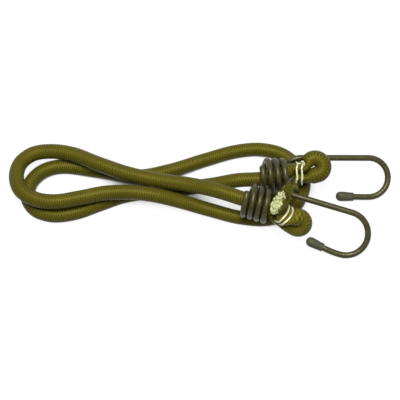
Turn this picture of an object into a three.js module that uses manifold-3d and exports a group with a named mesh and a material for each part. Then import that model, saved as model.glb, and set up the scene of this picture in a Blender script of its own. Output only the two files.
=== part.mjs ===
// A bungee cord folded into a hank, with a wire hook on each end. Millimetres, +Z up.
import * as THREE from "three";
import { mergeVertices } from "three/addons/utils/BufferGeometryUtils.js";
import initManifold from "manifold-3d";

// Cord
const cordDiameter = 8;
const sheathWall = 1.2;
const threadSide = 0.85; // square rubber threads, three rows of three
const threadGap = 0.3;
const cordSides = 10;
const stepsPerSpan = 2; // along the hank; an eye has one step between its points
const cutSteps = 2; // from the clip to the cut end
const gapSteps = 4; // points from ring to ring where a tube's least gap to itself is measured
const gapReach = 14; // least length of tube between two such points

// Eye at each end of the cord, held by a clip
const nipShare = 0.62; // thickness left under the clip
const nipWiden = 1.25; // and how much wider the cord is there
const nipHalfLength = 2.6; // from the middle of the clip to where the cord starts to swell
const nipReach = 6.5; // from the middle of the clip to the full thickness
const limbGap = 0.6; // between the eye's two limbs
const standLead = 4; // from the middle of the clip to where the standing limb comes level
const loopSteps = 6;

// Hook wire
const wireDiameter = 3.4;
const wireSides = 8;
const coilMeanDiameter = 16.4;
const coilStartAngle = 55; // degrees from the shank side towards the front
const coilEndAngle = 1385;
const coilStepsPerTurn = 14;
const shankDepth = 4; // behind the coil's axis
const shankLeadLength = 9; // from the coil to the straight shank
const leadFromCoil = 3.8; // how far the lead keeps on as the coil turns
const leadIntoShank = 5.4; // how far before the shank the lead is straight
const bendAngle = 179;
const bendSteps = 13;
const legEaseLength = 8; // the return leg's first part keeps turning a little
const legEaseSteps = 3;

// Tip cap
const capLength = 10;
const capMouthDiameter = 4.7;
const capTipDiameter = 5.4;
const capFit = 0.2; // play on the wire
const capEndWall = 1.2;
const capSides = 16;

// Wire clip
const clipWireDiameter = 1.4;
const clipFit = 0.3; // between clip and cord
const clipSides = 6;
const clipTail = 0.6; // how far its ends reach past the middle
const clipJoinAngle = 300; // where its two bands join, in degrees round the limbs
const rollLimits = [-10, 60]; // degrees, for a hook that comes to rest on the floor

// Where the cord lies between the two coils, chosen by hand from the photograph
const lieOnFloor = 3.2; // centre height where the cord is pressed flat on the floor
const cordRoute = [
  [45.6, 8.1, 15.1],
  [34.5, 5.9, 13.4],
  [21, 5.5, 12.4],
  [6.5, 5, 8.2],
  [-10, 5, 4.4],
  [-28, 3.5, lieOnFloor],
  [-43.5, 0.5, lieOnFloor],
  [-56, -4.5, lieOnFloor],
  [-69.5, -10, lieOnFloor],
  [-82, -11.5, lieOnFloor],
  [-91.5, -8, lieOnFloor],
  [-96.5, 0, lieOnFloor],
  [-95.5, 9, lieOnFloor],
  [-89.5, 16.5, lieOnFloor],
  [-79.5, 20, lieOnFloor],
  [-58.5, 17.5, lieOnFloor],
  [-35, 13.5, lieOnFloor],
  [-18, 17, lieOnFloor],
  [3, 24.5, lieOnFloor],
  [20, 30, lieOnFloor],
  [34.5, 31.5, lieOnFloor],
  [47, 28, lieOnFloor],
  [55, 20, lieOnFloor],
  [58.5, 10, lieOnFloor],
  [56.5, 0.5, lieOnFloor],
  [50, -9, lieOnFloor],
  [37.5, -14, lieOnFloor],
  [22, -13, lieOnFloor],
  [5.5, -8.5, 3.8],
  [-11, -5, 7.2],
  [-25, -3.5, 11.4],
  [-38.5, -2, 12],
  [-52.5, -2.5, 12],
  [-66, -5.5, 12],
  [-80, -8, 12],
  [-90.5, -6.5, 12],
  [-99, -1, 12],
  [-102.5, 8.5, 11],
  [-101, 18, 10],
  [-94.5, 24.5, 9.5],
  [-84.5, 26, 10],
  [-72, 23.5, 11],
  [-56, 16, 12],
  [-39, 9.5, 12],
  [-22.5, 5.5, 12.2],
  [-5.5, 1.5, 14.2],
  [8, -4, 18],
  [23.5, -9.8, 18.2],
  [35, -13.6, 16.9],
];

// Eyes: middle of the clip, between its bands, way along the limbs, way from the standing limb to the cut
// one, the loop's centre along both, its radius, the angles where it starts and ends, how far the limbs bow
// out before it, how far it leans out of the eye's plane and twists, where the cut end turns away behind the
// clip, how far it reaches, stands away from the standing limb and leans, how wide it splays, and how square
// to the limbs the sections stay there and by the clip
const upperEye = {
  clip: [56, 7.75, 15.8],
  bandSpacing: 2.8,
  ahead: [1, 0, 0],
  across: [0, -0.866, -0.5],
  loop: [7.8, -3.8],
  loopRadius: 4.75,
  loopAngles: [-125, 90],
  bow: 0,
  lean: 0,
  twist: 0,
  cutHold: 2.8,
  cutReach: 4.1,
  cutLift: 4.2,
  cutLean: 0,
  cutSplay: 1.25,
  cutSquare: 0.7,
  square: 0.85,
};
const lowerEye = {
  clip: [44.9, -19.2, 15.8],
  bandSpacing: 2.5,
  ahead: [0.793, -0.399, -0.461],
  across: [0.29, -0.125, 0.948],
  loop: [9.1, 0],
  loopRadius: 4.5,
  loopAngles: [-90, 90],
  bow: 0.75,
  lean: 2.1,
  twist: -27,
  cutHold: 2.6,
  cutReach: 6.3,
  cutLift: 3.6,
  cutLean: 2.1,
  cutSplay: 2,
  cutSquare: 0.3,
  square: 0.6,
};

// Hooks: the wire's end in the coil, yaw and fall of the coil's axis in degrees, pitch of the coil, the
// shank's distance from its axis, from the wire's end to the centre of the bend, the return leg and how
// many degrees it keeps turning
const upperHook = {
  coil: [33.7, 7, 15],
  yaw: 2.1,
  fall: 3.7,
  pitch: 4.1,
  shank: 10.1,
  reach: 61.5,
  bendRadius: 10.95,
  leg: 17.5,
  legEase: 3,
};
const lowerHook = {
  coil: [24.56, -11.06, 19.88],
  yaw: -15.2,
  fall: 6.7,
  pitch: 3.8,
  shank: 9.4,
  reach: 58.16,
  bendRadius: 11.95,
  leg: 18.7,
  legEase: 10,
};

const cordRadius = cordDiameter / 2;
const wireRadius = wireDiameter / 2;
const clipWireRadius = clipWireDiameter / 2;
const coilRadius = coilMeanDiameter / 2;
const limbMiddle = cordRadius * nipShare + limbGap / 2;
const radians = THREE.MathUtils.degToRad;
const vector = ([x, y, z]) => new THREE.Vector3(x, y, z);

const solids = await initManifold();
solids.setup();

// Three unit vectors of an eye: ahead, across, and out of its plane
function eyeFrame(eye) {
  const ahead = vector(eye.ahead).normalize();
  const across = vector(eye.across);
  across.addScaledVector(ahead, -across.dot(ahead)).normalize();
  const out = new THREE.Vector3().crossVectors(ahead, across);
  return { ...eye, ahead, across, out, clip: vector(eye.clip) };
}

// Share of the cord's thickness left at a place along and across an eye
function nippedShare(along, across) {
  const distance = Math.hypot(along, Math.max(Math.abs(across) - limbMiddle, 0));
  const reach = (distance - nipHalfLength) / (nipReach - nipHalfLength);
  return 1 - (1 - nipShare) * 0.5 * (1 + Math.cos(Math.PI * THREE.MathUtils.clamp(reach, 0, 1)));
}

// Centre points of an eye, from the standing limb at the clip to the cut end
function eyePoints(eye) {
  const { ahead, across, out, clip } = eyeFrame(eye);
  const { lerp, smoothstep } = THREE.MathUtils;
  const loop = [];
  for (let k = 0; k <= loopSteps; k += 1) {
    const angle = radians(lerp(...eye.loopAngles, k / loopSteps));
    const [along, aside] = [Math.cos(angle), Math.sin(angle)].map((share) => eye.loopRadius * share);
    loop.push([eye.loop[0] + along, eye.loop[1] + aside]);
  }
  const limb = (side, at) => {
    const clipEdge = [nipHalfLength, side * limbMiddle];
    return [clipEdge, [(clipEdge[0] + at[0]) / 2, (clipEdge[1] + at[1]) / 2 + side * eye.bow]];
  };
  const flat = [
    [-standLead, -limbMiddle],
    [-nipHalfLength, -limbMiddle],
    ...limb(-1, loop[0]),
    ...loop,
    ...limb(1, loop.at(-1)).reverse(),
    [-eye.cutHold, limbMiddle],
    [-eye.cutReach, limbMiddle + eye.cutLift],
  ];
  return flat.map(([p, q]) => {
    const twist = radians(eye.twist) * smoothstep(p, nipHalfLength, eye.loop[0]);
    const side = across.clone().applyAxisAngle(ahead, twist);
    const cutLean = q > 0 ? eye.cutLean * smoothstep(-p, eye.cutHold, eye.cutReach) : 0;
    const lean = eye.lean * smoothstep(p, nipHalfLength, eye.loop[0]) + cutLean;
    return clip.clone().addScaledVector(ahead, p).addScaledVector(side, q).addScaledVector(out, -lean);
  });
}

// Swept solid: rings of section points about the centres, with an optional hole and a ring shaper
function sweep(centres, outline, hole, shapeOffset) {
  const last = centres.length - 1;
  const tangents = centres.map((_, i) =>
    centres[Math.min(i + 1, last)].clone().sub(centres[Math.max(i - 1, 0)]).normalize());
  const seed = Math.abs(tangents[0].z) < 0.9 ? new THREE.Vector3(0, 0, 1) : new THREE.Vector3(1, 0, 0);
  const normal = seed.addScaledVector(tangents[0], -seed.dot(tangents[0])).normalize();
  const turn = new THREE.Quaternion();
  const section = hole ? [...outline, ...hole] : outline;
  const positions = [];
  centres.forEach((centre, i) => {
    if (i > 0) normal.applyQuaternion(turn.setFromUnitVectors(tangents[i - 1], tangents[i]));
    normal.addScaledVector(tangents[i], -normal.dot(tangents[i])).normalize();
    const binormal = new THREE.Vector3().crossVectors(tangents[i], normal);
    for (const { x, y } of section) {
      const offset = normal.clone().multiplyScalar(x).addScaledVector(binormal, y);
      if (shapeOffset) shapeOffset(offset, centre, i);
      positions.push(...offset.add(centre).toArray());
    }
  });
  const index = [];
  const wall = (start, count, inward) => {
    for (let i = 0; i < last; i += 1) {
      for (let k = 0; k < count; k += 1) {
        const a = i * section.length + start + k;
        const b = i * section.length + start + ((k + 1) % count);
        const [c, d] = [a + section.length, b + section.length];
        index.push(...(inward ? [a, c, b, b, c, d] : [a, b, c, b, d, c]));
      }
    }
  };
  wall(0, outline.length, false);
  if (hole) wall(outline.length, hole.length, true);
  const lid = THREE.ShapeUtils.triangulateShape(outline, hole ? [hole] : []);
  for (const [a, b, c] of lid) {
    index.push(a, c, b);
    index.push(...[a, b, c].map((k) => last * section.length + k));
  }
  const geometry = new THREE.BufferGeometry();
  geometry.setAttribute("position", new THREE.Float32BufferAttribute(positions, 3));
  geometry.setIndex(index);
  return geometry;
}

// Least gap of a swept tube to itself, between points of its surface
function leastGap(tube, centres) {
  const corners = tube.getAttribute("position");
  const sides = corners.count / centres.length;
  const corner = (ring, k) => new THREE.Vector3().fromBufferAttribute(corners, ring * sides + (k % sides));
  const points = [];
  let along = 0;
  for (let ring = 0; ring < centres.length - 1; ring += 1) {
    const length = centres[ring].distanceTo(centres[ring + 1]);
    for (let step = 0; step < gapSteps; step += 1) {
      const share = step / gapSteps;
      const edges = Array.from({ length: sides + 1 }, (_, k) =>
        corner(ring, k).lerp(corner(ring + 1, k), share));
      for (let k = 0; k < sides; k += 1) {
        points.push({ along: along + share * length, place: edges[k] });
        points.push({ along: along + share * length, place: edges[k].clone().lerp(edges[k + 1], 0.5) });
      }
    }
    along += length;
  }
  let least = Infinity;
  let far = 0;
  for (const { along: here, place } of points) {
    while (far < points.length && points[far].along < here + gapReach) far += 1;
    for (let k = far; k < points.length; k += 1) {
      least = Math.min(least, place.distanceToSquared(points[k].place));
    }
  }
  return Math.sqrt(least);
}

function circle(radius, sides, turn = 0) {
  return Array.from({ length: sides }, (_, k) => {
    const angle = (2 * Math.PI * (k + turn)) / sides;
    return new THREE.Vector2(radius * Math.cos(angle), radius * Math.sin(angle));
  });
}

function square(side, x, y) {
  const h = side / 2;
  return [[-h, -h], [h, -h], [h, h], [-h, h]].map(([u, v]) => new THREE.Vector2(x + u, y + v));
}

function solidOf(geometry) {
  geometry.deleteAttribute("normal");
  geometry.deleteAttribute("uv");
  const merged = mergeVertices(geometry);
  return new solids.Manifold(new solids.Mesh({
    numProp: 3,
    vertProperties: new Float32Array(merged.attributes.position.array),
    triVerts: new Uint32Array(merged.index.array),
  }));
}

// The cord is pressed flat where it lies on the floor
function cutAtFloor(geometry) {
  geometry.computeBoundingBox();
  const { min, max } = geometry.boundingBox;
  const [length, width] = [max.x - min.x + cordDiameter, max.y - min.y + cordDiameter];
  const floor = new THREE.BoxGeometry(length, width, cordDiameter);
  floor.translate((min.x + max.x) / 2, (min.y + max.y) / 2, -cordRadius);
  const mesh = solidOf(geometry).subtract(solidOf(floor)).getMesh();
  const cut = new THREE.BufferGeometry();
  cut.setAttribute("position", new THREE.Float32BufferAttribute(mesh.vertProperties, 3));
  cut.setIndex(Array.from(mesh.triVerts));
  return cut;
}

// Ring centres of the whole cord, from the upper cut end to the lower one
const eyes = [eyeFrame(upperEye), eyeFrame(lowerEye)];
const upperEyePoints = eyePoints(upperEye).reverse();
const lowerEyePoints = eyePoints(lowerEye);
const cordPoints = [...upperEyePoints, ...cordRoute.map(vector), ...lowerEyePoints];
const cordCurve = new THREE.CatmullRomCurve3(cordPoints, false, "centripetal");
const spans = cordPoints.length - 1;
const eyeSpans = upperEyePoints.length - 1;
const cordCentres = [];
for (let span = 0; span < spans; span += 1) {
  const fromEnd = Math.min(span, spans - 1 - span);
  const steps = fromEnd === 0 ? cutSteps : fromEnd < eyeSpans ? 1 : stepsPerSpan;
  for (let step = 0; step < steps; step += 1) {
    cordCentres.push(cordCurve.getPoint((span + step / steps) / spans));
  }
}
cordCentres.push(cordCurve.getPoint(1));
console.log(`cord length ${cordCurve.getLength().toFixed(1)} mm in ${cordCentres.length} rings`);

// Under a clip the cord is thinner from limb to limb and wider out of the eye's plane; its cut end splays
const lastRing = cordCentres.length - 1;
const eyeRings = cutSteps + eyeSpans - 1 + 2 * stepsPerSpan;
function pressAt(centre, ring) {
  const fromEnd = Math.min(ring, lastRing - ring);
  if (fromEnd > eyeRings) return null;
  const eye = eyes[ring === fromEnd ? 0 : 1];
  const place = centre.clone().sub(eye.clip);
  const share = nippedShare(place.dot(eye.ahead), place.dot(eye.across));
  const held = (1 - share) / (1 - nipShare);
  const wide = 1 + (nipWiden - 1) * held;
  const splay = Math.max(1 - fromEnd / cutSteps, 0) ** 2;
  return {
    eye,
    share,
    widening: THREE.MathUtils.lerp(wide, eye.cutSplay, splay),
    flattening: fromEnd < cutSteps ? eye.cutSquare : eye.square * Math.sqrt(held),
  };
}
function press(offset, centre, ring) {
  const at = pressAt(centre, ring);
  if (!at) return;
  const [ahead, across, out] = [at.eye.ahead, at.eye.across, at.eye.out].map((way) => offset.dot(way));
  offset.addScaledVector(at.eye.ahead, -at.flattening * ahead);
  offset.addScaledVector(at.eye.across, (at.share - 1) * across);
  offset.addScaledVector(at.eye.out, (at.widening - 1) * out);
}

// Centre line of a hook in its own frame: X along the coil to the bend, Y to the shank, Z to the front
function hookCentres({ pitch, shank: shankOffset, reach, bendRadius, leg, legEase }) {
  const points = [];
  const coil = (angle) => new THREE.Vector3(
    (pitch * (angle - coilStartAngle)) / 360,
    coilRadius * Math.cos(radians(angle)),
    coilRadius * Math.sin(radians(angle)),
  );
  const coilSteps = Math.round(((coilEndAngle - coilStartAngle) / 360) * coilStepsPerTurn);
  for (let k = 0; k <= coilSteps; k += 1) {
    points.push(coil(THREE.MathUtils.lerp(coilStartAngle, coilEndAngle, k / coilSteps)));
  }
  const end = points.at(-1);
  const wayOn = coil(coilEndAngle + 1).sub(end).normalize();
  const shank = new THREE.Vector3(end.x + shankLeadLength, shankOffset, -shankDepth);
  const lead = new THREE.CubicBezierCurve3(
    end,
    end.clone().addScaledVector(wayOn, leadFromCoil),
    shank.clone().add(new THREE.Vector3(-leadIntoShank, 0, 0)),
    shank,
  );
  points.push(...lead.getPoints(6).slice(1));
  const middle = new THREE.Vector3(reach, shankOffset - bendRadius, -shankDepth);
  let angle = 90;
  for (let k = 0; k <= bendSteps; k += 1) {
    angle = 90 - (bendAngle * k) / bendSteps;
    points.push(middle.clone().add(new THREE.Vector3(
      bendRadius * Math.cos(radians(angle)), bendRadius * Math.sin(radians(angle)), 0)));
  }
  const wayAt = (turned) => new THREE.Vector3(Math.sin(radians(turned)), -Math.cos(radians(turned)), 0);
  for (let k = 0; k < legEaseSteps; k += 1) {
    const eased = angle - (legEase * (k + 0.5)) / legEaseSteps;
    points.push(points.at(-1).clone().addScaledVector(wayAt(eased), legEaseLength / legEaseSteps));
  }
  const legWay = wayAt(angle - legEase);
  const tip = points.at(-1).clone().addScaledVector(legWay, leg - legEaseLength);
  points.push(tip);
  return { points, tip, legWay };
}

// A hook rolls about its coil until its bend or its tip cap rests on the floor
function hookPlacement(hook) {
  const { points, tip } = hookCentres(hook);
  const frameAt = (roll) => new THREE.Matrix4()
    .makeRotationFromEuler(new THREE.Euler(0, radians(hook.fall), radians(hook.yaw), "ZYX"))
    .multiply(new THREE.Matrix4().makeRotationX(roll))
    .setPosition(...hook.coil);
  const clearance = (roll) => {
    const frame = frameAt(roll);
    const low = Math.min(...points.map((point) => point.clone().applyMatrix4(frame).z));
    return Math.min(low - wireRadius, tip.clone().applyMatrix4(frame).z - capTipDiameter / 2);
  };
  let [lifted, sunk] = rollLimits.map(radians);
  while (sunk - lifted > 1e-6) {
    const half = (lifted + sunk) / 2;
    if (clearance(half) > 0) lifted = half;
    else sunk = half;
  }
  return { frame: frameAt(lifted), roll: lifted };
}

function capGeometry() {
  const mouth = capMouthDiameter / 2;
  const end = capTipDiameter / 2;
  const bore = wireRadius + capFit;
  const profile = [[0, 0]];
  for (const angle of [25, 50, 75]) {
    profile.push([end * Math.sin(radians(angle)), end * (1 - Math.cos(radians(angle)))]);
  }
  profile.push([end, end], [mouth, capLength], [bore, capLength], [bore, capEndWall], [0, capEndWall]);
  return new THREE.LatheGeometry(profile.map(([r, h]) => new THREE.Vector2(r, h)), capSides);
}

// Clip: one wire, round both limbs in two bands that join at the back
function clipGeometry(eye) {
  const { ahead, across, out, clip } = eyeFrame(eye);
  const depth = cordRadius * nipWiden + clipFit + clipWireRadius;
  const round = cordRadius * nipShare + clipFit + clipWireRadius;
  const ring = [[-clipTail, depth]];
  const arc = (centre, from, to, steps) => {
    for (let k = 0; k <= steps; k += 1) {
      const angle = radians(THREE.MathUtils.lerp(from, to, k / steps));
      ring.push([centre + round * Math.sin(angle), depth * Math.cos(angle)]);
    }
  };
  arc(limbMiddle, 0, 180, 8);
  arc(-limbMiddle, 180, clipJoinAngle, 7);
  const band = eye.bandSpacing / 2;
  const place = ([q, o], p) =>
    clip.clone().addScaledVector(ahead, p).addScaledVector(across, q).addScaledVector(out, o);
  const points = [
    ...ring.map((at) => place(at, -band)),
    ...ring.toReversed().map((at) => place(at, band)),
  ];
  return sweep(points, circle(clipWireRadius, clipSides), null, null);
}

const materials = {
  sheath: new THREE.MeshStandardMaterial({ color: 0x6b6523, roughness: 0.75, metalness: 0 }),
  thread: new THREE.MeshStandardMaterial({ color: 0xd9d9a6, roughness: 0.6, metalness: 0 }),
  wire: new THREE.MeshStandardMaterial({ color: 0x55543c, roughness: 0.45, metalness: 0.4 }),
  cap: new THREE.MeshStandardMaterial({ color: 0x595843, roughness: 0.6, metalness: 0 }),
  clip: new THREE.MeshStandardMaterial({ color: 0xd8d4a0, roughness: 0.35, metalness: 0.6 }),
};

const bungee = new THREE.Group();
function add(name, geometry, material, frame) {
  const mesh = new THREE.Mesh(geometry, material);
  mesh.name = name;
  if (frame) mesh.applyMatrix4(frame);
  bungee.add(mesh);
}

const boreRadius = cordRadius - sheathWall;
add("cord_sheath",
  cutAtFloor(sweep(cordCentres, circle(cordRadius, cordSides), circle(boreRadius, cordSides), press)),
  materials.sheath);
const cordTube = sweep(cordCentres, circle(cordRadius, cordSides), null, press);
console.log(`least gap of the cord to itself ${leastGap(cordTube, cordCentres).toFixed(2)} mm`);
const threadStep = threadSide + threadGap;
for (let row = 0; row < 3; row += 1) {
  for (let column = 0; column < 3; column += 1) {
    const section = square(threadSide, (column - 1) * threadStep, (row - 1) * threadStep);
    add(`core_thread_${row * 3 + column + 1}`, sweep(cordCentres, section, null, press), materials.thread);
  }
}
for (const [name, hook, eye] of [["upper", upperHook, upperEye], ["lower", lowerHook, lowerEye]]) {
  const { points, tip, legWay } = hookCentres(hook);
  const { frame, roll } = hookPlacement(hook);
  const wire = sweep(points.toReversed(), circle(wireRadius, wireSides, 0.5), null, null);
  add(`${name}_hook_wire`, wire, materials.wire, frame);
  const seat = new THREE.Matrix4().makeRotationFromQuaternion(
    new THREE.Quaternion().setFromUnitVectors(new THREE.Vector3(0, -1, 0), legWay));
  seat.setPosition(tip.clone().addScaledVector(legWay, capEndWall + capFit));
  add(`${name}_tip_cap`, capGeometry(), materials.cap, frame.clone().multiply(seat));
  add(`${name}_clip`, clipGeometry(eye), materials.clip);
  console.log(`${name} hook rolled ${THREE.MathUtils.radToDeg(roll).toFixed(1)} degrees`);
  console.log(`least gap of its wire to itself ${leastGap(wire, points.toReversed()).toFixed(2)} mm`);
}

export default bungee;
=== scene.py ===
import math
import random

import bpy
from mathutils import Matrix, Vector


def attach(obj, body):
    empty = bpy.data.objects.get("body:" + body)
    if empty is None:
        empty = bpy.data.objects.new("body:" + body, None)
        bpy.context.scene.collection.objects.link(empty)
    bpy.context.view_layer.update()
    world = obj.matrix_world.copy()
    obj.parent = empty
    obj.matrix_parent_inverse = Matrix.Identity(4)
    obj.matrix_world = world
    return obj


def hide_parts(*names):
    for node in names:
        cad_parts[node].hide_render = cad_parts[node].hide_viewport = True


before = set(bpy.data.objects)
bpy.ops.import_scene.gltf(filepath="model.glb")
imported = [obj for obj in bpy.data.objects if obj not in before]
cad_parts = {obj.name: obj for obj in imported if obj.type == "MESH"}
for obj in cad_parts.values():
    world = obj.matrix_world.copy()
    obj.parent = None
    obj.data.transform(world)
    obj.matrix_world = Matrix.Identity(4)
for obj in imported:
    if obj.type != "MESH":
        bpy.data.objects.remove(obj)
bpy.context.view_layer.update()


# Camera, at the photograph's angle
cameraSetup = {
    "distance": 0.7,
    "elevation": 60,
    "lens": 112,
}


def placeCamera(setup):
    data = bpy.data.cameras.new("photoCamera")
    data.lens = setup["lens"]
    camera = bpy.data.objects.new("photoCamera", data)
    tilt = math.radians(setup["elevation"])
    camera.location = (0, -setup["distance"] * math.cos(tilt), setup["distance"] * math.sin(tilt))
    camera.rotation_euler = (math.pi / 2 - tilt, 0, 0)
    bpy.context.scene.collection.objects.link(camera)
    bpy.context.scene.camera = camera


placeCamera(cameraSetup)
print("camera placed")


# Node helpers
def newMaterial(name):
    material = bpy.data.materials.new(name)
    material.use_nodes = True
    tree = material.node_tree
    return material, tree, tree.nodes["Principled BSDF"]


def setInputs(tree, node, inputs):  # each to a value, or to another node's output
    for key, value in inputs.items():
        if isinstance(value, bpy.types.NodeSocket):
            tree.links.new(value, node.inputs[key])
        else:
            node.inputs[key].default_value = value


def addNode(tree, kind, settings=None, inputs=None):
    node = tree.nodes.new(kind)
    for key, value in (settings or {}).items():
        setattr(node, key, value)
    setInputs(tree, node, inputs or {})
    return node


def calc(tree, operation, first, second=0.0):
    return addNode(tree, "ShaderNodeMath", {"operation": operation}, {0: first, 1: second}).outputs[0]


def noise(tree, where, scale, detail):
    node = addNode(tree, "ShaderNodeTexNoise", inputs={"Vector": where, "Scale": scale, "Detail": detail})
    return node.outputs[0]


def spread(tree, value, low, high, start=0.0, stop=1.0):  # low where value is start, high where it is stop
    node = addNode(tree, "ShaderNodeMapRange", inputs={0: value, 1: start, 2: stop, 3: low, 4: high})
    return node.outputs[0]


def blend(tree, share, first, second):
    return addNode(tree, "ShaderNodeMix", inputs={0: share, 2: first, 3: second}).outputs[0]


def ramp(tree, value, stops):
    node = addNode(tree, "ShaderNodeValToRGB", inputs={0: value})
    elements = node.color_ramp.elements
    while len(elements) < len(stops):
        elements.new(0.5)  # moved to its place below
    for element, (place, colour) in zip(elements, stops):
        element.position = place
        element.color = (*colour, 1)
    return node.outputs[0]


def bump(tree, height, distance):
    return addNode(tree, "ShaderNodeBump", inputs={"Height": height, "Distance": distance}).outputs[0]


def objectPlace(tree):
    return addNode(tree, "ShaderNodeTexCoord").outputs["Object"]


# Mesh helpers
steep = 0.9  # a line that starts steeper than this takes its first normal from X


def addMesh(name, points, faces, material, uvs=None, smooth=True):
    mesh = bpy.data.meshes.new(name)
    mesh.from_pydata([tuple(point) for point in points], [], faces)
    if uvs:
        layer = mesh.uv_layers.new(name="lay")
        for polygon, corners in zip(mesh.polygons, uvs):
            for loop, corner in zip(polygon.loop_indices, corners):
                layer.data[loop].uv = corner
    if smooth:
        mesh.shade_smooth()
    mesh.materials.append(material)
    piece = bpy.data.objects.new(name, mesh)
    bpy.context.scene.collection.objects.link(piece)
    return piece


def ringFaces(ringCount, sides, start=0, closed=False):  # closed joins the last ring to the first
    faces = []
    for i in range(ringCount if closed else ringCount - 1):
        low, high = [start + (ring % ringCount) * sides for ring in (i, i + 1)]
        for k in range(sides):
            following = (k + 1) % sides
            faces.append((low + k, low + following, high + following, high + k))
    return faces


def tubeFaces(ringCount, sides, start=0):  # of a tube with both its ends closed
    stop = start + ringCount * sides
    ends = [tuple(reversed(range(start, start + sides))), tuple(range(stop - sides, stop))]
    return ringFaces(ringCount, sides, start) + ends


def ringPoints(centre, normal, binormal, radius, sides):
    points = []
    for k in range(sides):
        angle = 2 * math.pi * k / sides
        points.append(centre + normal * (radius * math.cos(angle)) + binormal * (radius * math.sin(angle)))
    return points


def ringUvs(lays, sides):  # lays gives the second value at each corner of each ring
    uvs = []
    for first, second in zip(lays, [*lays[1:], lays[0]]):
        for k in range(sides):
            left, right = k / sides, (k + 1) / sides
            uvs.append(((left, first[k]), (right, first[k + 1]), (right, second[k + 1]), (left, second[k])))
    return uvs


def distances(line):
    along = [0.0]
    for first, second in zip(line, line[1:]):
        along.append(along[-1] + (second - first).length)
    return along


def carriedFrames(line):  # tangent, normal and binormal at each point, without twist
    last = len(line) - 1
    frames = []
    normal = None
    for i in range(last + 1):
        tangent = (line[min(i + 1, last)] - line[max(i - 1, 0)]).normalized()
        if normal is None:
            normal = Vector((0, 0, 1)) if abs(tangent.z) < steep else Vector((1, 0, 0))
        else:
            normal = frames[-1][0].rotation_difference(tangent) @ normal
        normal = (normal - tangent * normal.dot(tangent)).normalized()
        frames.append((tangent, normal, tangent.cross(normal)))
    return frames


def smoothStep(value, low, high):
    share = min(max((value - low) / (high - low), 0), 1)
    return share * share * (3 - 2 * share)


def throughPoints(points, steps):  # centripetal Catmull-Rom line; steps gives the steps in each span
    ends = [points[0] * 2 - points[1], *points, points[-1] * 2 - points[-2]]
    line = []
    for i in range(len(points) - 1):
        before, start, stop, after = ends[i:i + 4]
        spans = (start - before, stop - start, after - stop)
        first, middle, last = [math.sqrt(span.length) for span in spans]
        leave = (start - before) / first - (stop - before) / (first + middle) + (stop - start) / middle
        arrive = (stop - start) / middle - (after - start) / (middle + last) + (after - stop) / last
        leave, arrive = leave * middle, arrive * middle
        for k in range(steps(i)):
            t = k / steps(i)
            line.append(start + leave * t + ((stop - start) * 3 - leave * 2 - arrive) * t ** 2
                        + ((start - stop) * 2 + leave + arrive) * t ** 3)
    line.append(points[-1].copy())
    return line


# Cord
cord = {
    "diameter": 0.008,
    "sides": 32,
    "ringStep": 0.0003,
    "leastSteps": 2,  # between two points of the route
    "pathStep": 10,  # rings to a point of the line that is handed on
    "wall": 0.0007,
    "innerStep": 12,  # rings to a step of the wall's inner face
    "nipShare": 0.62,  # thickness left under a clip
    "nipWiden": 1.25,  # and how much wider the cord is there
    "nipHalf": 0.0026,  # from the middle of the clip to where the cord starts to swell
    "nipReach": 0.0065,  # and to its full thickness
    "limbGap": 0.0006,
    "loopSteps": 6,  # round an eye's loop
    "eyeLength": 0.07,  # from a cut end to where the cord is plain
    "splayPower": 1.5,  # how the cut end's width grows towards the cut
    "squarePower": 0.5,  # and how its sections turn square
    "standLead": 0.004,  # from the middle of the clip to where the standing limb comes level
    "fullness": [  # number of a point of the cord, and the share of the thickness there
        (0, 1.0), (2, 1.0), (3, 1.1), (4, 1.14), (10, 1.14), (11, 1.1), (12, 1.0), (15, 1.0), (22, 1.03),
        (29, 1.05), (34, 0.98), (42, 0.97), (46, 1.03), (52, 1.05), (58, 1.06), (61, 1.04), (63, 1.0),
        (66, 1.0), (67, 1.04), (68, 1.1), (70, 1.18), (73, 1.14), (75, 1.24), (76, 1.06), (77, 1.0),
    ],
}
lieOnFloor = 0.0032
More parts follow.
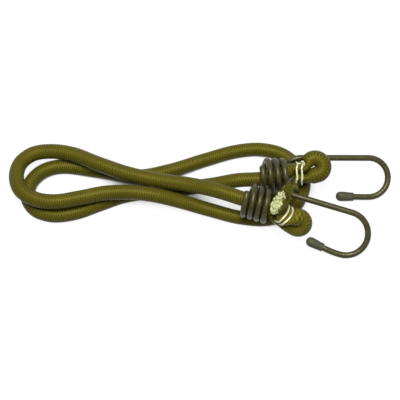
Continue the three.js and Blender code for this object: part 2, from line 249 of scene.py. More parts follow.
cordRoute = [  # where the cord lies between its eyes, chosen from the photograph
    (0.0456, 0.0081, 0.0151),
    (0.0345, 0.0059, 0.0134),
    (0.021, 0.0055, 0.0124),
    (0.0065, 0.005, 0.0082),
    (-0.01, 0.005, 0.0044),
    (-0.028, 0.0035, lieOnFloor),
    (-0.0435, 0.0005, lieOnFloor),
    (-0.056, -0.0045, lieOnFloor),
    (-0.0695, -0.01, lieOnFloor),
    (-0.082, -0.0115, lieOnFloor),
    (-0.0915, -0.008, lieOnFloor),
    (-0.0965, 0.0, lieOnFloor),
    (-0.0955, 0.009, lieOnFloor),
    (-0.0895, 0.0165, lieOnFloor),
    (-0.0795, 0.02, lieOnFloor),
    (-0.0585, 0.0175, lieOnFloor),
    (-0.035, 0.0135, lieOnFloor),
    (-0.018, 0.017, lieOnFloor),
    (0.003, 0.0245, lieOnFloor),
    (0.02, 0.03, lieOnFloor),
    (0.0345, 0.0315, lieOnFloor),
    (0.047, 0.028, lieOnFloor),
    (0.055, 0.02, lieOnFloor),
    (0.0585, 0.01, lieOnFloor),
    (0.0565, 0.0005, lieOnFloor),
    (0.05, -0.009, lieOnFloor),
    (0.0375, -0.014, lieOnFloor),
    (0.022, -0.013, lieOnFloor),
    (0.0055, -0.0085, 0.0038),
    (-0.011, -0.005, 0.0072),
    (-0.025, -0.0035, 0.0114),
    (-0.0385, -0.002, 0.012),
    (-0.0525, -0.0025, 0.012),
    (-0.066, -0.0055, 0.012),
    (-0.08, -0.008, 0.012),
    (-0.0905, -0.0065, 0.012),
    (-0.099, -0.001, 0.012),
    (-0.1025, 0.0085, 0.011),
    (-0.101, 0.018, 0.01),
    (-0.0945, 0.0245, 0.0095),
    (-0.0845, 0.026, 0.01),
    (-0.072, 0.0235, 0.011),
    (-0.056, 0.016, 0.012),
    (-0.039, 0.0095, 0.012),
    (-0.0225, 0.0055, 0.0122),
    (-0.0055, 0.0015, 0.0142),
    (0.008, -0.004, 0.018),
    (0.0235, -0.0098, 0.0182),
    (0.035, -0.0136, 0.0169),
]

# Eyes at the cord's ends
eyes = {
    "upper": {
        "clip": (0.056, 0.00775, 0.0158),  # middle of the clip
        "ahead": (1, 0, 0),  # way along the limbs
        "across": (0, -0.866, -0.5),  # way from the standing limb to the cut one
        "loop": (0.0078, -0.0038),  # the loop's centre, ahead and across
        "loopRadius": 0.0046,
        "loopAngles": (-125, 90),  # where the loop's turn starts and ends
        "bow": 0.0,  # of the limbs between clip and loop
        "lean": 0.0,  # of the loop, out of the eye's plane
        "twist": 0,  # of the loop, about the way ahead
        "cutHold": 0.0026,  # behind the clip's middle, where the cut limb starts to turn off
        "cutReach": 0.0037,  # and where it ends
        "cutLift": 0.0048,  # how far off it ends, and the length over which it splays
        "cutLean": 0.0,  # of the cut end, out of the eye's plane
        "cutSplay": 1.25,  # how much wider the cut end is
        "cutSquare": 0.5,  # how far it is turned square to the way ahead
        "cutSlant": 0.0,  # of the cut, over its width
        "square": 0.6,  # how far the sections under the clip are turned square to the way ahead
    },
    "lower": {
        "clip": (0.0449, -0.0192, 0.0158),
        "ahead": (0.793, -0.399, -0.461),
        "across": (0.29, -0.125, 0.948),
        "loop": (0.0088, 0.0),
        "loopRadius": 0.004,
        "loopAngles": (-90, 90),
        "bow": 0.00075,
        "lean": 0.0021,
        "twist": -27,
        "cutHold": 0.0026,
        "cutReach": 0.0063,
        "cutLift": 0.0036,
        "cutLean": 0.0021,
        "cutSplay": 1.7,
        "cutSquare": 0.0,
        "cutSlant": 0.4,
        "square": 0.6,
    },
}
cordRadius = cord["diameter"] / 2
limbMiddle = cordRadius * cord["nipShare"] + cord["limbGap"] / 2


def eyeFrame(eye):
    ahead = Vector(eye["ahead"]).normalized()
    across = Vector(eye["across"])
    across = (across - ahead * across.dot(ahead)).normalized()
    return ahead, across, ahead.cross(across), Vector(eye["clip"])


def nippedShare(along, across):  # of the cord's thickness, at a place along and across an eye
    distance = math.hypot(along, max(abs(across) - limbMiddle, 0))
    reach = min(max((distance - cord["nipHalf"]) / (cord["nipReach"] - cord["nipHalf"]), 0), 1)
    return 1 - (1 - cord["nipShare"]) * 0.5 * (1 + math.cos(math.pi * reach))


def eyePoints(eye):  # from the standing limb at the clip to the cut end
    ahead, across, out, clip = eyeFrame(eye)
    held, (loopAlong, loopAcross) = cord["nipHalf"], eye["loop"]
    start, stop = eye["loopAngles"]
    radius, steps = eye["loopRadius"], cord["loopSteps"]
    loop = []
    for k in range(steps + 1):
        bend = math.radians(start + (stop - start) * k / steps)
        loop.append((loopAlong + radius * math.cos(bend), loopAcross + radius * math.sin(bend)))

    def limb(side, at):
        edge = (held, side * limbMiddle)
        return [edge, ((edge[0] + at[0]) / 2, (edge[1] + at[1]) / 2 + side * eye["bow"])]

    flat = [(-cord["standLead"], -limbMiddle), (-held, -limbMiddle), *limb(-1, loop[0]), *loop,
            *reversed(limb(1, loop[-1])), (-eye["cutHold"], limbMiddle),
            (-eye["cutReach"], limbMiddle + eye["cutLift"])]
    points = []
    for p, q in flat:
        twist = math.radians(eye["twist"]) * smoothStep(p, held, loopAlong)
        side = Matrix.Rotation(twist, 3, ahead) @ across
        lean = eye["lean"] * smoothStep(p, held, loopAlong)
        if q > 0:
            lean += eye["cutLean"] * smoothStep(-p, eye["cutHold"], eye["cutReach"])
        points.append(clip + ahead * p + side * q - out * lean)
    return points


upperEnd = list(reversed(eyePoints(eyes["upper"])))
lowerEnd = eyePoints(eyes["lower"])
cordPoints = [*upperEnd, *[Vector(point) for point in cordRoute], *lowerEnd]


def spanSteps(i):
    steps = round((cordPoints[i + 1] - cordPoints[i]).length / cord["ringStep"])
    return max(steps, cord["leastSteps"])


cordLine = throughPoints(cordPoints, spanSteps)
cordAlong = distances(cordLine)
cordFrames = carriedFrames(cordLine)
pointRing = [0]
for spanIndex in range(len(cordPoints) - 1):
    pointRing.append(pointRing[-1] + spanSteps(spanIndex))
print(f"cord line of {cordAlong[-1] * 1000:.1f} mm in {len(cordLine)} rings")


def fullness(ring):
    knots = [(cordAlong[pointRing[i]], share) for i, share in cord["fullness"]]
    here = cordAlong[ring]
    if here <= knots[0][0]:
        return knots[0][1]
    for (start, first), (stop, second) in zip(knots, knots[1:]):
        if here <= stop:
            return first + (second - first) * smoothStep(here, start, stop)
    return knots[-1][1]


def pressed(offset, ring):  # thinner under the clips, splayed at the cut ends
    fromStart, fromEnd = cordAlong[ring], cordAlong[-1] - cordAlong[ring]
    eye = eyes["upper" if fromStart < fromEnd else "lower"]
    near = min(fromStart, fromEnd)
    if near > cord["eyeLength"]:
        return offset
    ahead, across, out, clip = eyeFrame(eye)
    place = cordLine[ring] - clip
    share = nippedShare(place.dot(ahead), place.dot(across))
    held = (1 - share) / (1 - cord["nipShare"])
    cut = max(1 - near / eye["cutLift"], 0)
    wide = 1 + (cord["nipWiden"] - 1) * held
    wide += (eye["cutSplay"] - wide) * cut ** cord["splayPower"]
    square = eye["square"] * math.sqrt(held)
    square += (eye["cutSquare"] - square) * cut ** cord["squarePower"]
    moved = offset + across * ((share - 1) * offset.dot(across))
    moved -= ahead * (square * offset.dot(ahead))
    moved -= cordFrames[ring][0] * (eye["cutSlant"] * cut * offset.dot(out))
    return moved + out * ((wide - 1) * offset.dot(out))


def cordPoint(ring, x, y):  # a point of the cord's section at a ring, x and y from the centre
    _, normal, binormal = cordFrames[ring]
    return cordLine[ring] + pressed(normal * x + binormal * y, ring)


def onFloor(point, height):
    return Vector((point.x, point.y, max(point.z, height)))


# Braid of the sheath
braid = {
    "yarns": 5,  # each way round
    "pitch": 0.00125,  # along the cord, from yarn to yarn
    "relief": 0.00014,
    "pillow": 0.4,  # share of the relief that is highest where two yarns cross
    "waver": 0.25,  # of a pitch
    "waverLengths": (0.0083, 0.0131),
    "depth": 0.00004,  # of the bump over that relief
    # the colours paint shade between the yarns and a highlight on their tops
    "colours": [  # height in the relief and the colour there
        (0.08, (0.027, 0.02, 0.002)),
        (0.5, (0.084, 0.072, 0.005)),
        (0.95, (0.132, 0.116, 0.011)),
    ],
    "cloud": (95, 3),  # scale and detail of the noise that fades it
    "fade": 0.26,
    "eyeLightGain": 1.5,  # painted light: the braid's colour is made lighter round the lower eye
    "eyeLightReach": (0.04, 0.034),  # from the cut end, where that starts and where it is full
    "roughness": (0.48, 0.38),  # between the yarns and on top of them
    "gloss": 0.24,
    "glossTint": (1, 0.94, 0.2, 1),
}


def braidLay(around, along):  # place along the cord in the braid, which wavers a little
    first, second = braid["waverLengths"]
    turn = 2 * math.pi
    waver = math.sin(turn * (along / first + around)) + math.sin(turn * (along / second - 2 * around))
    return along + braid["pitch"] * braid["waver"] * waver / 2


def braidHeight(around, lay):  # 0 between the yarns, 1 on top of them; the material has the same pattern
    right = around * braid["yarns"] + lay / braid["pitch"]
    left = around * braid["yarns"] - lay / braid["pitch"]
    rightCrown, leftCrown = [1 - (2 * (value % 1) - 1) ** 2 for value in (right, left)]
    over = (math.floor(right) + math.floor(left)) % 2
    top = leftCrown if over else rightCrown
    return top + (rightCrown * leftCrown - top) * braid["pillow"]


def braidMaterial():
    material, tree, surface = newMaterial("oliveBraid")
    lay = addNode(tree, "ShaderNodeUVMap", {"uv_map": "lay"}).outputs[0]
    layAround, layAlong = addNode(tree, "ShaderNodeSeparateXYZ", inputs={0: lay}).outputs[:2]
    around = calc(tree, "MULTIPLY", layAround, braid["yarns"])
    along = calc(tree, "DIVIDE", layAlong, braid["pitch"])
    right = calc(tree, "ADD", around, along)
    left = calc(tree, "SUBTRACT", around, along)

    def crownOf(value):  # rounded top of one yarn
        centred = calc(tree, "SUBTRACT", calc(tree, "MULTIPLY", calc(tree, "FRACT", value), 2), 1)
        return calc(tree, "SUBTRACT", 1, calc(tree, "MULTIPLY", centred, centred))

    rightCrown, leftCrown = crownOf(right), crownOf(left)
    cells = calc(tree, "ADD", calc(tree, "FLOOR", right), calc(tree, "FLOOR", left))
    over = calc(tree, "FLOORED_MODULO", cells, 2)
    top = blend(tree, over, rightCrown, leftCrown)
    height = blend(tree, braid["pillow"], top, calc(tree, "MULTIPLY", rightCrown, leftCrown))
    # painted shade between the yarns and painted highlight on their tops
    colour = ramp(tree, height, braid["colours"])
    cloud = noise(tree, objectPlace(tree), *braid["cloud"])
    faded = spread(tree, cloud, 1 - braid["fade"], 1 + braid["fade"])
    # painted light: the braid is coloured lighter round the lower eye
    starts, full = [cordAlong[-1] - reach for reach in braid["eyeLightReach"]]
    eyeLit = spread(tree, layAlong, 1.0, braid["eyeLightGain"], starts, full)
    shaded = addNode(tree, "ShaderNodeMix", {"data_type": "RGBA", "blend_type": "MULTIPLY"},
                     {0: 1.0, 6: colour, 7: calc(tree, "MULTIPLY", faded, eyeLit)})
    setInputs(tree, surface, {
        "Base Color": shaded.outputs[2],
        "Normal": bump(tree, height, braid["depth"]),
        "Roughness": spread(tree, height, *braid["roughness"]),
        "Specular IOR Level": braid["gloss"],
        "Specular Tint": braid["glossTint"],
    })
    return material


def makeSheath():
    sides, wall = cord["sides"], cord["wall"]
    points, lays = [], []

    def addRing(ring, radius, relief, floorGap):
        lay = [braidLay(k / sides, cordAlong[ring]) for k in range(sides + 1)]
        for k in range(sides):
            angle = 2 * math.pi * k / sides
            reach = radius + relief * (braidHeight(k / sides, lay[k]) - 0.5)  # half of it below the radius
            point = cordPoint(ring, reach * math.cos(angle), reach * math.sin(angle))
            points.append(onFloor(point, floorGap))
        lays.append(lay)

    last = len(cordLine) - 1
    for ring in range(last + 1):
        addRing(ring, cordRadius * fullness(ring), braid["relief"], 0)
    for ring in reversed([*range(0, last, cord["innerStep"]), last]):  # the wall's inner face
        addRing(ring, cordRadius - wall, 0, wall)
    faces = ringFaces(len(lays), sides, closed=True)
    return addMesh("cordBraid", points, faces, braidMaterial(), ringUvs(lays, sides))


# Rubber threads of the core
core = {
    "side": 0.00079,  # of one square thread
    "step": 0.00083,  # from thread to thread
    "rings": 3,  # rings of threads round the middle one
    "coarse": 22,  # cord rings to a step inside the sheath
    "fineLength": 0.009,  # from a cut end, where every ring is a step
    "standOut": {"upper": 0.001, "lower": 0.002},
    "fan": {"upper": (1.2, 1.2), "lower": (1.48, 1.14)},  # along the splay and across it, at the cut ends
    "fanLength": 0.005,
    "fanPower": 1.5,  # how the fan grows towards the cut
    "spill": {"upper": (0.0, 0.0), "lower": (0.0016, -0.0009)},  # of the ends, along the splay and the eye
    "ringTurn": 0.35,  # of each ring of threads
    "standRange": (0.6, 1.3),  # share of the stand-out that a thread gets
    "seed": 7,
    "solidThreads": 9,  # nodes that these threads replace
    "colours": [(0.3, (0.50, 0.52, 0.24)), (0.6, (0.83, 0.84, 0.47))],  # place in the cloud and colour
    "cloud": (900, 2),  # scale and detail of the noise
    "grain": (2500, 2),
    "grainDepth": 0.00005,
    "roughness": 0.55,
    "gloss": 0.3,
}


def rubberMaterial():
    material, tree, surface = newMaterial("paleRubber")
    place = objectPlace(tree)
    setInputs(tree, surface, {
        "Base Color": ramp(tree, noise(tree, place, *core["cloud"]), core["colours"]),
        "Normal": bump(tree, noise(tree, place, *core["grain"]), core["grainDepth"]),
        "Roughness": core["roughness"],
        "Specular IOR Level": core["gloss"],
    })
    return material


def threadPlaces():  # a middle thread and rings of six, twelve and more
    places = [(0.0, 0.0)]
    for ring in range(1, core["rings"] + 1):
        radius, count = core["step"] * ring, 6 * ring
        for k in range(count):
            angle = 2 * math.pi * k / count + core["ringTurn"] * ring
            places.append((radius * math.cos(angle), radius * math.sin(angle)))
    return places


def fanned(point, ring):  # how far a thread is spread out of the sheath's line near a cut end
    fromStart, fromEnd = cordAlong[ring], cordAlong[-1] - cordAlong[ring]
    end = "upper" if fromStart < fromEnd else "lower"
    share = max(1 - min(fromStart, fromEnd) / core["fanLength"], 0) ** core["fanPower"]
    ahead, _, out, _ = eyeFrame(eyes[end])
    offset = point - cordLine[ring]
    along, beside = core["fan"][end]
    sideways = offset.dot(out)
    spillOut, spillAhead = core["spill"][end]
    return share * (out * ((along - 1) * sideways + spillOut) + (offset - out * sideways) * (beside - 1)
                    + ahead * spillAhead)


def makeThreads():
    chance = random.Random(core["seed"])
    rings = []
    for ring, along in enumerate(cordAlong):
        if min(along, cordAlong[-1] - along) < core["fineLength"] or ring % core["coarse"] == 0:
            rings.append(ring)
    corner = core["side"] / 2 * math.sqrt(2)
    points, faces = [], []
    for x, y in threadPlaces():
        start = len(points)
        turn = chance.uniform(0, math.pi / 2)
        turns = [turn + k * math.pi / 2 for k in range(4)]
        square = [(corner * math.cos(angle), corner * math.sin(angle)) for angle in turns]
        atStart = -core["standOut"]["upper"] * chance.uniform(*core["standRange"])
        atEnd = core["standOut"]["lower"] * chance.uniform(*core["standRange"])
        steps = [(rings[0], atStart), *[(ring, 0.0) for ring in rings], (rings[-1], atEnd)]
        for ring, standOut in steps:
            shift = cordFrames[ring][0] * standOut + fanned(cordPoint(ring, x, y), ring)
            points += [cordPoint(ring, x + u, y + v) + shift for u, v in square]
        faces += tubeFaces(len(steps), len(square), start)
    return addMesh("coreThreads", points, faces, rubberMaterial(), smooth=False)


# Loose yarn ends of the braid at the cut ends
fray = {
    "radius": 0.00022,
    "sides": 5,
    "steps": 6,
    "yarns": {"upper": 70, "lower": 230},
    "length": {"upper": (0.0006, 0.0014), "lower": (0.001, 0.0024)},
    "flap": {"upper": 0.0, "lower": 0.0076},  # longer yarns on one side, pushed over outwards
    "flapReach": 0.4,
    "flapTurn": 0.8,  # how far that side is turned to the eye
    "fold": {"upper": 0.0, "lower": 0.0022},  # yarns on the eye's side, folded in over the rubber
    "foldReach": (0.1, 0.6),
    "stray": (-0.4, 0.4),  # share of the spacing by which a yarn is out of its place
    "wallDepth": (0.1, 0.8),  # where a yarn starts in the sheath's wall
    "flapShare": (0.55, 1),  # of the flap's length that a yarn gets
    "root": 0.0012,  # inside the sheath
    "tip": 0.55,  # share of the radius
    "lean": 0.35,  # outwards, for one step along the cord
    "leanRange": (-0.2, 0.3),
    "flapLean": 90,  # added for a metre of flap
    "foldLean": 1.6,  # taken off where a yarn is folded in
    "sway": 0.25,
    "bendStart": 0.4,  # share of its own way that a yarn has at the root
    "seed": {"upper": 11, "lower": 23},
    "colours": [(0.3, (0.06, 0.053, 0.006)), (0.7, (0.17, 0.155, 0.018))],  # place in the cloud and colour
    "cloud": (1100, 3),  # scale and detail of the noise
    "grain": (4000, 2),
    "grainDepth": 0.00005,
    "roughness": 0.5,
    "gloss": 0.25,
    "glossTint": (1, 0.95, 0.4, 1),
}


def yarnMaterial():
    material, tree, surface = newMaterial("looseYarn")
    place = objectPlace(tree)
    setInputs(tree, surface, {
        "Base Color": ramp(tree, noise(tree, place, *fray["cloud"]), fray["colours"]),
        "Normal": bump(tree, noise(tree, place, *fray["grain"]), fray["grainDepth"]),
        "Roughness": fray["roughness"],
        "Specular IOR Level": fray["gloss"],
        "Specular Tint": fray["glossTint"],
    })
    return material


def yarnLine(base, axis, way, length):  # bends from the cord's axis towards the yarn's own way
    steps = fray["steps"]
    line = [base - axis * fray["root"]]
    for k in range(steps):
        turned = (axis * (1 - k / steps) + way * (k / steps + fray["bendStart"])).normalized()
        line.append(line[-1] + turned * ((length + fray["root"]) / steps))
    return line


def makeFray(name, end, material):
    chance = random.Random(fray["seed"][end])
    ring, outward = (0, -1) if end == "upper" else (len(cordLine) - 1, 1)
    axis = cordFrames[ring][0] * outward
    ahead, _, out, _ = eyeFrame(eyes[end])
    flapWay = (ahead * fray["flapTurn"] - out).normalized()
    sides, count = fray["sides"], fray["yarns"][end]
    points, faces = [], []
    for i in range(count):
        angle = 2 * math.pi * (i + chance.uniform(*fray["stray"])) / count
        radius = cordRadius - cord["wall"] * chance.uniform(*fray["wallDepth"])
        base = cordPoint(ring, radius * math.cos(angle), radius * math.sin(angle))
        away = (base - cordLine[ring]).normalized()
        flap = smoothStep(away.dot(flapWay), fray["flapReach"], 1) * fray["flap"][end]
        folded = smoothStep(away.dot(ahead), *fray["foldReach"]) if fray["fold"][end] and i % 2 else 0
        flap *= 1 - folded
        length = chance.uniform(*fray["length"][end]) + flap * chance.uniform(*fray["flapShare"])
        length += folded * fray["fold"][end]
        lean = fray["lean"] + chance.uniform(*fray["leanRange"]) + fray["flapLean"] * flap
        lean -= fray["foldLean"] * folded
        sway = Vector([chance.uniform(-fray["sway"], fray["sway"]) for _ in range(3)])
        line = yarnLine(base, axis, (axis + away * lean + sway).normalized(), length)
        start = len(points)
        for k, (centre, (_, normal, binormal)) in enumerate(zip(line, carriedFrames(line))):
            size = fray["radius"] * (1 if k < fray["steps"] else fray["tip"])
            points += ringPoints(centre, normal, binormal, size, sides)
        faces += tubeFaces(len(line), sides, start)
    return addMesh(name, points, faces, material)


sheath = makeSheath()
threads = makeThreads()
yarn = yarnMaterial()
for end in ("upper", "lower"):
    loose = makeFray(f"{end}Fray", end, yarn)
    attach(loose, "cord")
for piece, slotName in ((sheath, "sheath"), (threads, "core_rubber")):
    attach(piece, "cord")
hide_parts("cord_sheath")
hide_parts(*[f"core_thread_{i + 1}" for i in range(core["solidThreads"])])
print("sheath and core made")


# Hooks, each of one wire: coil, shank, bend and return leg
hookWire = {
    "diameter": 0.0034,
    "sides": 20,
    "coilMean": 0.0164,  # diameter to the middle of the wire
    "coilStart": 55,  # degrees round the coil
    "coilEnd": 1385,
    "stepsPerTurn": 44,
    "shankDepth": 0.004,
    "leadLength": 0.009,
    "leadFromCoil": 0.0038,
    "leadIntoShank": 0.0054,
    "leadSteps": 12,
    "shankSteps": 8,
    "bendAngle": 179,
    "bendSteps": 40,
    "easeLength": 0.008,  # the leg's first part keeps turning a little
    "easeSteps": 8,
    "cutBevel": 0.00025,
    "bevelRound": (0.4, 0.3),  # shares of the bevel, along the wire and into it, at its middle ring
    "colours": [  # place in the cloud and colour: grime, coat and scuffs
        (0.28, (0.012, 0.009, 0.003)),
        (0.5, (0.026, 0.023, 0.006)),
        (0.78, (0.06, 0.056, 0.02)),
    ],
    "cloud": (260, 4),  # scale and detail of the noise
    "grain": (1500, 3),
    "grainDepth": 0.00003,
    "roughness": (0.44, 0.24),  # in the grime and on the scuffs
    "gloss": 0.5,
    "glossTint": (1, 0.95, 0.56, 1),
}
hooks = {
    "upper": {
        "coil": (0.0337, 0.007, 0.015),  # the coil's start, on its axis
        "yaw": 2.1,  # degrees, as the next two
        "fall": 3.7,
        "roll": 29.827,
        "pitch": 0.0041,  # of the coil
        "shank": 0.0101,  # from the coil's axis
        "reach": 0.0615,  # to the middle of the bend
        "bendRadius": 0.01095,
        "leg": 0.0175,
        "legEase": 3,  # degrees that the leg goes on turning
    },
    "lower": {
        "coil": (0.02456, -0.01106, 0.01988),
        "yaw": -15.2,
        "fall": 6.7,
        "roll": 33.465,
        "pitch": 0.0038,
        "shank": 0.0094,
        "reach": 0.05816,
        "bendRadius": 0.01195,
        "leg": 0.0187,
        "legEase": 10,
    },
}


def coatMaterial():
    material, tree, surface = newMaterial("oliveWireCoat")
    place = objectPlace(tree)
    cloud = noise(tree, place, *hookWire["cloud"])
    setInputs(tree, surface, {
        "Base Color": ramp(tree, cloud, hookWire["colours"]),
        "Normal": bump(tree, noise(tree, place, *hookWire["grain"]), hookWire["grainDepth"]),
        "Roughness": spread(tree, cloud, *hookWire["roughness"]),
        "Specular IOR Level": hookWire["gloss"],
        "Specular Tint": hookWire["glossTint"],
    })
    return material


def hookPlace(hook):
    return (Matrix.Translation(hook["coil"]) @ Matrix.Rotation(math.radians(hook["yaw"]), 4, "Z")
            @ Matrix.Rotation(math.radians(hook["fall"]), 4, "Y")
            @ Matrix.Rotation(math.radians(hook["roll"]), 4, "X"))


def hookLine(hook):  # in the hook's own frame: X along the coil to the bend, Y to the shank, Z to the front
    radius, turnStart = hookWire["coilMean"] / 2, hookWire["coilStart"]

    def coilPoint(degrees):
        angle = math.radians(degrees)
        return Vector((hook["pitch"] * (degrees - turnStart) / 360,
                       radius * math.cos(angle), radius * math.sin(angle)))

    turned = hookWire["coilEnd"] - turnStart
    steps = round(turned / 360 * hookWire["stepsPerTurn"])
    line = [coilPoint(turnStart + turned * k / steps) for k in range(steps + 1)]
    end = line[-1]
    onward = (coilPoint(hookWire["coilEnd"] + 1) - end).normalized()  # a degree further
    shank = Vector((end.x + hookWire["leadLength"], hook["shank"], -hookWire["shankDepth"]))
    first = end + onward * hookWire["leadFromCoil"]
    second = shank - Vector((hookWire["leadIntoShank"], 0, 0))
    leadSteps = hookWire["leadSteps"]
    for k in range(1, leadSteps + 1):
        t = k / leadSteps
        line.append(end * (1 - t) ** 3 + first * (3 * t * (1 - t) ** 2) + second * (3 * t * t * (1 - t))
                    + shank * t ** 3)
    bend = hook["bendRadius"]
    middle = Vector((hook["reach"], hook["shank"] - bend, -hookWire["shankDepth"]))
    shankSteps, bendSteps, easeSteps = hookWire["shankSteps"], hookWire["bendSteps"], hookWire["easeSteps"]
    for k in range(1, shankSteps):
        line.append(shank.lerp(middle + Vector((0, bend, 0)), k / shankSteps))
    for k in range(bendSteps + 1):
        angle = math.radians(90 - hookWire["bendAngle"] * k / bendSteps)
        line.append(middle + Vector((bend * math.cos(angle), bend * math.sin(angle), 0)))
    bendEnd, ease = math.radians(90 - hookWire["bendAngle"]), math.radians(hook["legEase"])

    def wayAt(more):  # of the leg, turned on past the bend
        return Vector((math.sin(bendEnd - more), -math.cos(bendEnd - more), 0))

    for k in range(easeSteps):
        line.append(line[-1] + wayAt(ease * (k + 0.5) / easeSteps) * (hookWire["easeLength"] / easeSteps))
    line.append(line[-1] + wayAt(ease) * (hook["leg"] - hookWire["easeLength"]))
    return line, wayAt(ease)


def makeHookWire(name, hook, material):
    line, _ = hookLine(hook)
    place = hookPlace(hook)
    radius, sides, bevel = hookWire["diameter"] / 2, hookWire["sides"], hookWire["cutBevel"]
    bevelAlong, bevelIn = hookWire["bevelRound"]
    frames = carriedFrames(line)
    rings = [(line[0], frames[0], radius - bevel),
             (line[0] + frames[0][0] * bevel * bevelAlong, frames[0], radius - bevel * bevelIn)]
    rings += [(centre, axes, radius) for centre, axes in zip(line[1:], frames[1:])]
    points = []
    for centre, (_, normal, binormal), size in rings:
        points += [place @ point for point in ringPoints(centre, normal, binormal, size, sides)]
    return addMesh(name, points, tubeFaces(len(rings), sides), material)


# Plastic caps on the hooks' tips
tipCap = {
    "length": 0.01,
    "mouth": 0.0047,  # diameter at the open end
    "tip": 0.0054,  # and at the closed end
    "fit": 0.0002,  # gap round the wire
    "endWall": 0.0012,
    "lip": 0.0003,
    "lipRound": (0.25, 0.3),  # shares of the lip, inwards and down, at its middle ring
    "domeStart": 8,  # degrees from the closed end's middle
    "domeStep": 9,
    "sideSteps": 6,
    "segments": 40,
    "colours": [(0.3, (0.052, 0.05, 0.022)), (0.7, (0.078, 0.076, 0.036))],  # place in the cloud and colour
    "cloud": (350, 3),  # scale and detail of the noise
    "grain": (2200, 2),
    "grainDepth": 0.00003,
    "roughness": 0.55,
    "gloss": 0.35,
}


def capMaterial():
    material, tree, surface = newMaterial("softPlasticCap")
    place = objectPlace(tree)
    setInputs(tree, surface, {
        "Base Color": ramp(tree, noise(tree, place, *tipCap["cloud"]), tipCap["colours"]),
        "Normal": bump(tree, noise(tree, place, *tipCap["grain"]), tipCap["grainDepth"]),
        "Roughness": tipCap["roughness"],
        "Specular IOR Level": tipCap["gloss"],
    })
    return material


def capProfile():  # radius and height from the closed end
    end, mouth, lip = tipCap["tip"] / 2, tipCap["mouth"] / 2, tipCap["lip"]
    length, steps = tipCap["length"], tipCap["sideSteps"]
    bore = hookWire["diameter"] / 2 + tipCap["fit"]
    profile = []
    for angle in range(tipCap["domeStart"], 90, tipCap["domeStep"]):
        bend = math.radians(angle)
        profile.append((end * math.sin(bend), end * (1 - math.cos(bend))))
    for k in range(1, steps + 1):
        radius = end + (mouth - end) * smoothStep(k / steps, 0, 1)
        profile.append((radius, end + (length - lip - end) * (k / steps)))
    lipIn, lipDown = tipCap["lipRound"]
    profile += [(mouth - lip * lipIn, length - lip * lipDown), (mouth - lip, length), (bore, length),
                (bore, tipCap["endWall"])]
    return profile


def makeTipCap(name, hook, material):
    line, legWay = hookLine(hook)
    place = hookPlace(hook)
    seat = line[-1] + legWay * (tipCap["endWall"] + tipCap["fit"])
    side = Vector((0, 0, 1))
    other = legWay.cross(side)
    segments = tipCap["segments"]
    points = []
    for radius, height in capProfile():
        ring = ringPoints(seat - legWay * height, side, other, radius, segments)
        points += [place @ point for point in ring]
    faces = [tuple(reversed(face)) for face in tubeFaces(len(points) // segments, segments)]
    return addMesh(name, points, faces, material)


# Wire clips round the eyes' limbs
clipWire = {
    "diameter": 0.0012,
    "fit": 0.0003,
    "bandSpacing": {"upper": 0.003, "lower": 0.0025},
    "shift": {"upper": -0.0012, "lower": -0.0008},  # of the bands along the eye
    "skew": {"upper": 0.0, "lower": 0.3},  # along the eye, for one step across
    "sides": 14,
    "tail": 0.0006,  # how far each end runs past the clip's middle
    "tailSteps": 3,
    "joinAngle": 300,  # degrees, where the two bands join round the standing limb
    "turnSteps": (20, 18),  # round the cut limb and round the standing one
    "spanSteps": 3,
    "wave": 0.0004,
    "waveTurn": 2.6,  # radians of the wave from the clip's middle to a limb's
    "wavePhase": 0.6,  # of the second band
    "dip": 0.0009,  # between the limbs
    "dipWidth": 0.0012,
    "colours": [(0.3, (0.55, 0.53, 0.28)), (0.62, (0.84, 0.82, 0.5))],  # place in the cloud and colour
    "cloud": (700, 3),  # scale and detail of the noise
    "grain": (3000, 2),
    "grainDepth": 0.00004,
    "roughness": (0.46, 0.24),  # where it is dull and where it is bright
    "metal": 0.35,
}


def clipMaterial():
    material, tree, surface = newMaterial("palePlatedWire")
    place = objectPlace(tree)
    cloud = noise(tree, place, *clipWire["cloud"])
    setInputs(tree, surface, {
        "Base Color": ramp(tree, cloud, clipWire["colours"]),
        "Normal": bump(tree, noise(tree, place, *clipWire["grain"]), clipWire["grainDepth"]),
        "Roughness": spread(tree, cloud, *clipWire["roughness"]),
        "Metallic": clipWire["metal"],
    })
    return material


def clipLine(end):
    ahead, across, out, clip = eyeFrame(eyes[end])
    wire = clipWire["diameter"] / 2
    depth = cordRadius * cord["nipWiden"] + clipWire["fit"] + wire
    roundness = cordRadius * cord["nipShare"] + clipWire["fit"] + wire
    tailSteps, (cutSteps, standSteps) = clipWire["tailSteps"], clipWire["turnSteps"]
    ring = [(-clipWire["tail"] * (1 - k / tailSteps), depth) for k in range(tailSteps)]
    turns = ((limbMiddle, 0, 180, cutSteps), (-limbMiddle, 180, clipWire["joinAngle"], standSteps))
    for centre, start, stop, steps in turns:
        for k in range(steps + 1):
            angle = math.radians(start + (stop - start) * k / steps)
            ring.append((centre + roundness * math.sin(angle), depth * math.cos(angle)))
    band = clipWire["bandSpacing"][end] / 2

    def placed(p, q, o):  # ahead, across and out of the eye's plane
        dip = clipWire["dip"] * math.exp(-(q / clipWire["dipWidth"]) ** 2) * math.copysign(1, o)
        phase = clipWire["wavePhase"] if p > 0 else 0
        wave = clipWire["wave"] * math.sin(q / limbMiddle * clipWire["waveTurn"] + phase)
        wave += clipWire["shift"][end] + clipWire["skew"][end] * max(q, 0)
        return clip + ahead * (p + wave) + across * q + out * (o - dip)

    return [placed(-band, q, o) for q, o in ring] + [placed(band, q, o) for q, o in reversed(ring)]


def makeClip(name, end, material):
    line = throughPoints(clipLine(end), lambda i: clipWire["spanSteps"])
    radius, sides = clipWire["diameter"] / 2, clipWire["sides"]
    points = []
    for centre, (_, normal, binormal) in zip(line, carriedFrames(line)):
        points += ringPoints(centre, normal, binormal, radius, sides)
    return addMesh(name, points, tubeFaces(len(line), sides), material)


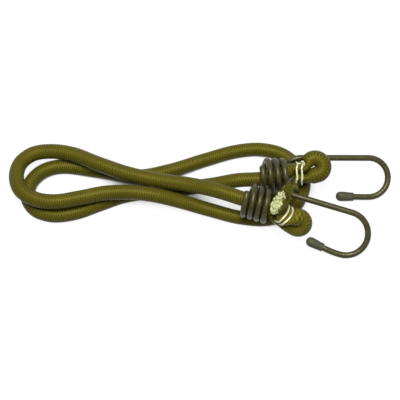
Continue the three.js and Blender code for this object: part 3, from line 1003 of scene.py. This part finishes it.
coat, capPlastic, plating = coatMaterial(), capMaterial(), clipMaterial()
for end in ("upper", "lower"):
    wirePiece = makeHookWire(f"{end}HookWire", hooks[end], coat)
    capPiece = makeTipCap(f"{end}TipCap", hooks[end], capPlastic)
    clipPiece = makeClip(f"{end}Clip", end, plating)
    for piece, node, body, slotName in ((wirePiece, "hook_wire", f"{end}_hook", "hook_wire"),
                                        (capPiece, "tip_cap", f"{end}_hook", "tip_cap"),
                                        (clipPiece, "clip", "cord", "clip_wire")):
        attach(piece, body)
        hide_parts(f"{end}_{node}")
print("hooks, caps and clips made")


# Floor, world and lamps
studio = {
    "floorSize": 6.0,
    "floorGrey": 0.16,  # of the floor as it lights the cord
    "seenGrey": 0.1,  # and as it is seen
    "seenGlow": 0.94,
    "gapDepth": 0.022,  # floor that shows through gaps closer than this gets painted shade
    "gapShade": (0.1, 0.3),  # openness where the floor is dark and where it is white
    "coilShade": (0.25, 0.75),  # the same under the coils
    "coilMiddle": (0.046, 0.008, 0),
    "coilReach": (0.008, 0.02),  # from there, where that shade starts to end and where it has ended
    "worldLight": 0.05,
    "seenWorld": 1.0,  # the world's light as it is seen
    "key": {"place": (0.0, -0.1, 0.95), "size": (0.28, 0.5), "power": 9.4},
    "fill": {"place": (-0.6, 0.3, 0.6), "size": (0.6, 0.6), "power": 0.2},
}


def seenRay(tree):  # 1 for rays that show the background
    path = addNode(tree, "ShaderNodeLightPath").outputs
    shown = calc(tree, "MAXIMUM", path["Is Camera Ray"], path["Is Glossy Ray"])
    return calc(tree, "MAXIMUM", shown, path["Is Transmission Ray"])


def grey(value):
    return value, value, value, 1


def floorGlow(tree):  # full in the open; painted shade takes it to none in narrow gaps and less under the coils
    occlusion = addNode(tree, "ShaderNodeAmbientOcclusion", inputs={"Distance": studio["gapDepth"]})

    def litFrom(dark, white):
        return spread(tree, occlusion.outputs["AO"], 0.0, studio["seenGlow"], dark, white)

    away = addNode(tree, "ShaderNodeVectorMath", {"operation": "DISTANCE"},
                   {0: objectPlace(tree), 1: studio["coilMiddle"]}).outputs["Value"]
    outside = spread(tree, away, 0.0, 1.0, *studio["coilReach"])
    return blend(tree, outside, litFrom(*studio["coilShade"]), litFrom(*studio["gapShade"]))


def makeFloor():
    half = studio["floorSize"] / 2
    material = bpy.data.materials.new("whiteFloor")
    material.use_nodes = True
    tree = material.node_tree
    tree.nodes.clear()
    plain = addNode(tree, "ShaderNodeBsdfDiffuse", inputs={"Color": grey(studio["floorGrey"])})
    seen = addNode(tree, "ShaderNodeBsdfDiffuse", inputs={"Color": grey(studio["seenGrey"])})
    glow = addNode(tree, "ShaderNodeEmission", inputs={"Strength": floorGlow(tree)})
    white = addNode(tree, "ShaderNodeAddShader", inputs={0: seen.outputs[0], 1: glow.outputs[0]})
    mixed = addNode(tree, "ShaderNodeMixShader",
                    inputs={0: seenRay(tree), 1: plain.outputs[0], 2: white.outputs[0]})
    addNode(tree, "ShaderNodeOutputMaterial", inputs={0: mixed.outputs[0]})
    corners = [(-half, -half, 0), (half, -half, 0), (half, half, 0), (-half, half, 0)]
    floor = addMesh("floor", corners, [(0, 1, 2, 3)], material, smooth=False)


def makeWorld():
    world = bpy.data.worlds.new("studioWorld")
    world.use_nodes = True
    tree = world.node_tree
    tree.nodes.clear()
    strength = spread(tree, seenRay(tree), studio["worldLight"], studio["seenWorld"])
    background = addNode(tree, "ShaderNodeBackground", inputs={"Strength": strength, "Color": grey(1)})
    addNode(tree, "ShaderNodeOutputWorld", inputs={0: background.outputs[0]})
    bpy.context.scene.world = world


def addLamp(name, lamp):
    data = bpy.data.lights.new(name, "AREA")
    data.shape = "RECTANGLE"
    data.size, data.size_y = lamp["size"]
    data.energy = lamp["power"]
    light = bpy.data.objects.new(name, data)
    light.location = lamp["place"]
    light.rotation_euler = (-Vector(lamp["place"])).to_track_quat("-Z", "Y").to_euler()
    bpy.context.scene.collection.objects.link(light)


makeFloor()
makeWorld()
addLamp("keyLamp", studio["key"])
addLamp("fillLamp", studio["fill"])
bpy.context.scene.view_settings.view_transform = "Standard"
print("studio made")
